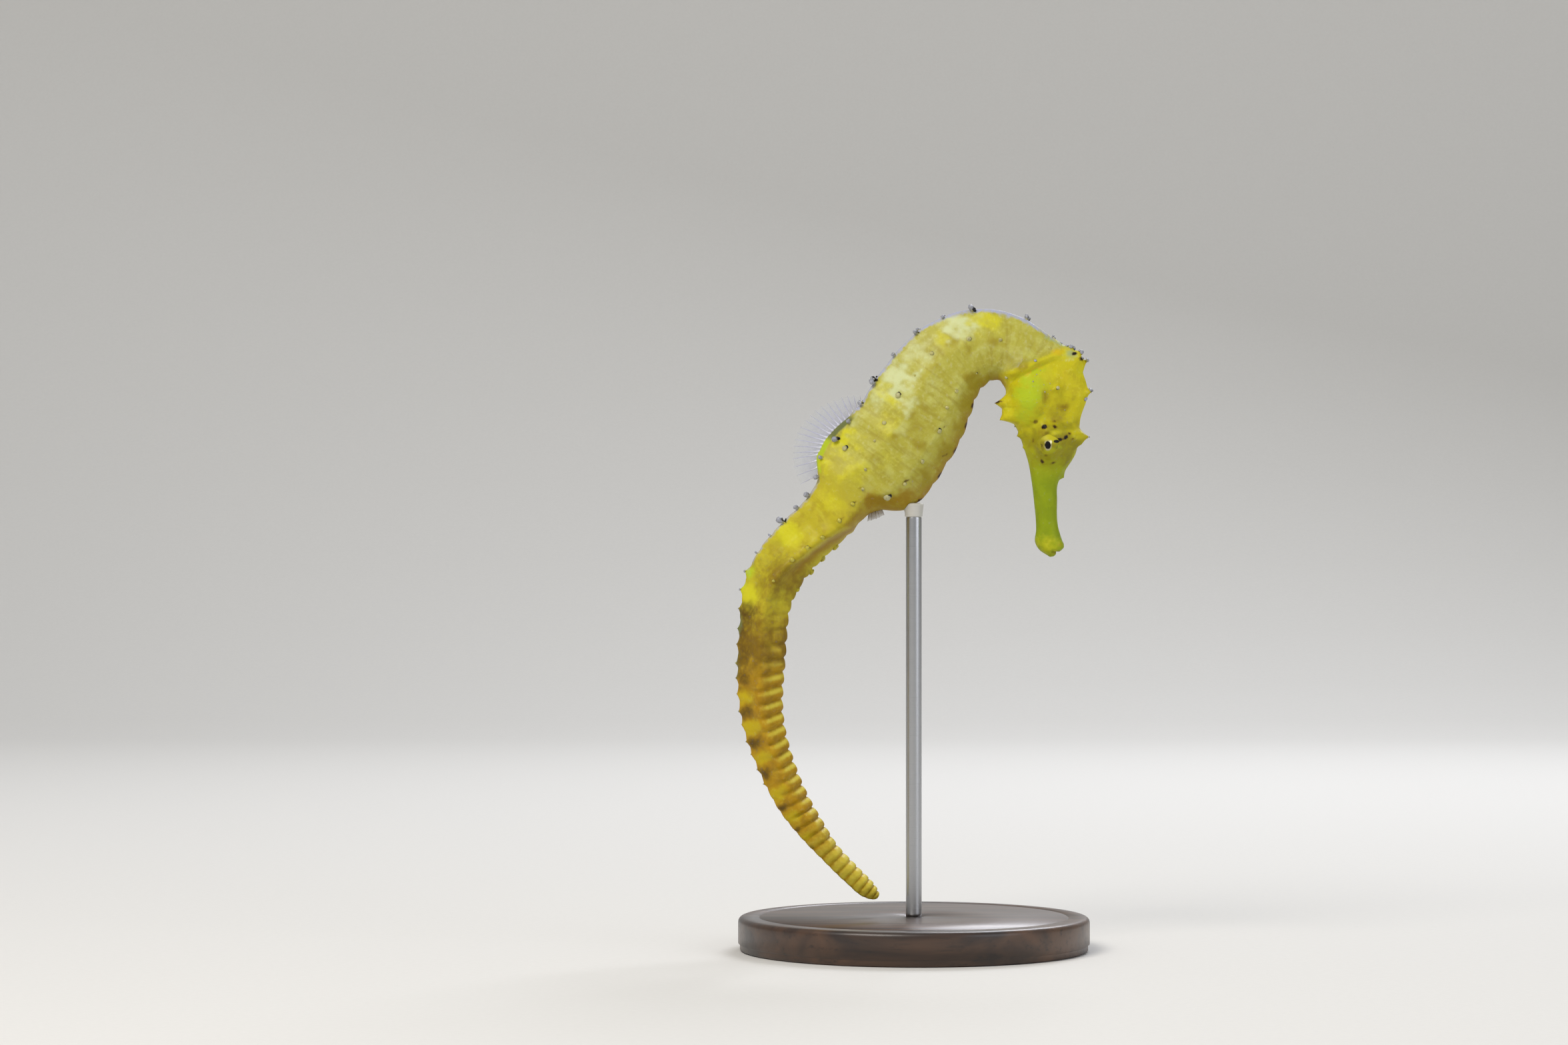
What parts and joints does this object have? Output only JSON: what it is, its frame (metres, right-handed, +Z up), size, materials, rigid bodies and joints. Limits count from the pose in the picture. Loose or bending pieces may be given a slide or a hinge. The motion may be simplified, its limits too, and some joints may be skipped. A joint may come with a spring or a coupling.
{
  "type": "seahorse display model",
  "caption": "Life-size still model of a swimming seahorse with curled-down head, ringed body, hanging tail and small fins, on a plain disc stand with a rod.",
  "frame": {"origin": "centre of the flat underside of the stand's base", "axes": "+Z up, the animal faces +X, its middle plane is y = 0 and its right flank faces -Y"},
  "size_m": [0.0627, 0.062, 0.113],
  "materials": {
    "skin_trunk": "satin yellow skin with pale, ochre and white-knobbed markings",
    "skin_tail": "satin golden skin with olive-brown bands",
    "skin_head": "satin yellow-green skin with dark spots round the eye",
    "eye": "glossy wet eyeball with a small black pupil",
    "fin": "clear thin membrane on fine pale rays",
    "stand_base": "dark satin-lacquered wood",
    "stand_rod": "fine-brushed steel"
  },
  "bodies": {
    "root": {"tail_tip": "skin_tail", "tail_lower": "skin_tail", "tail_middle": "skin_tail", "tail_upper": "skin_tail", "trunk": "skin_trunk", "neck": "skin_trunk", "head": "skin_head", "snout": "skin_head", "eye_right": "eye", "eye_left": "eye", "dorsal_fin": "fin", "anal_fin": "fin", "pectoral_fin_right": "fin", "pectoral_fin_left": "fin", "stand_base": "stand_base", "stand_rod": "stand_rod"}
  },
  "joints": []
}
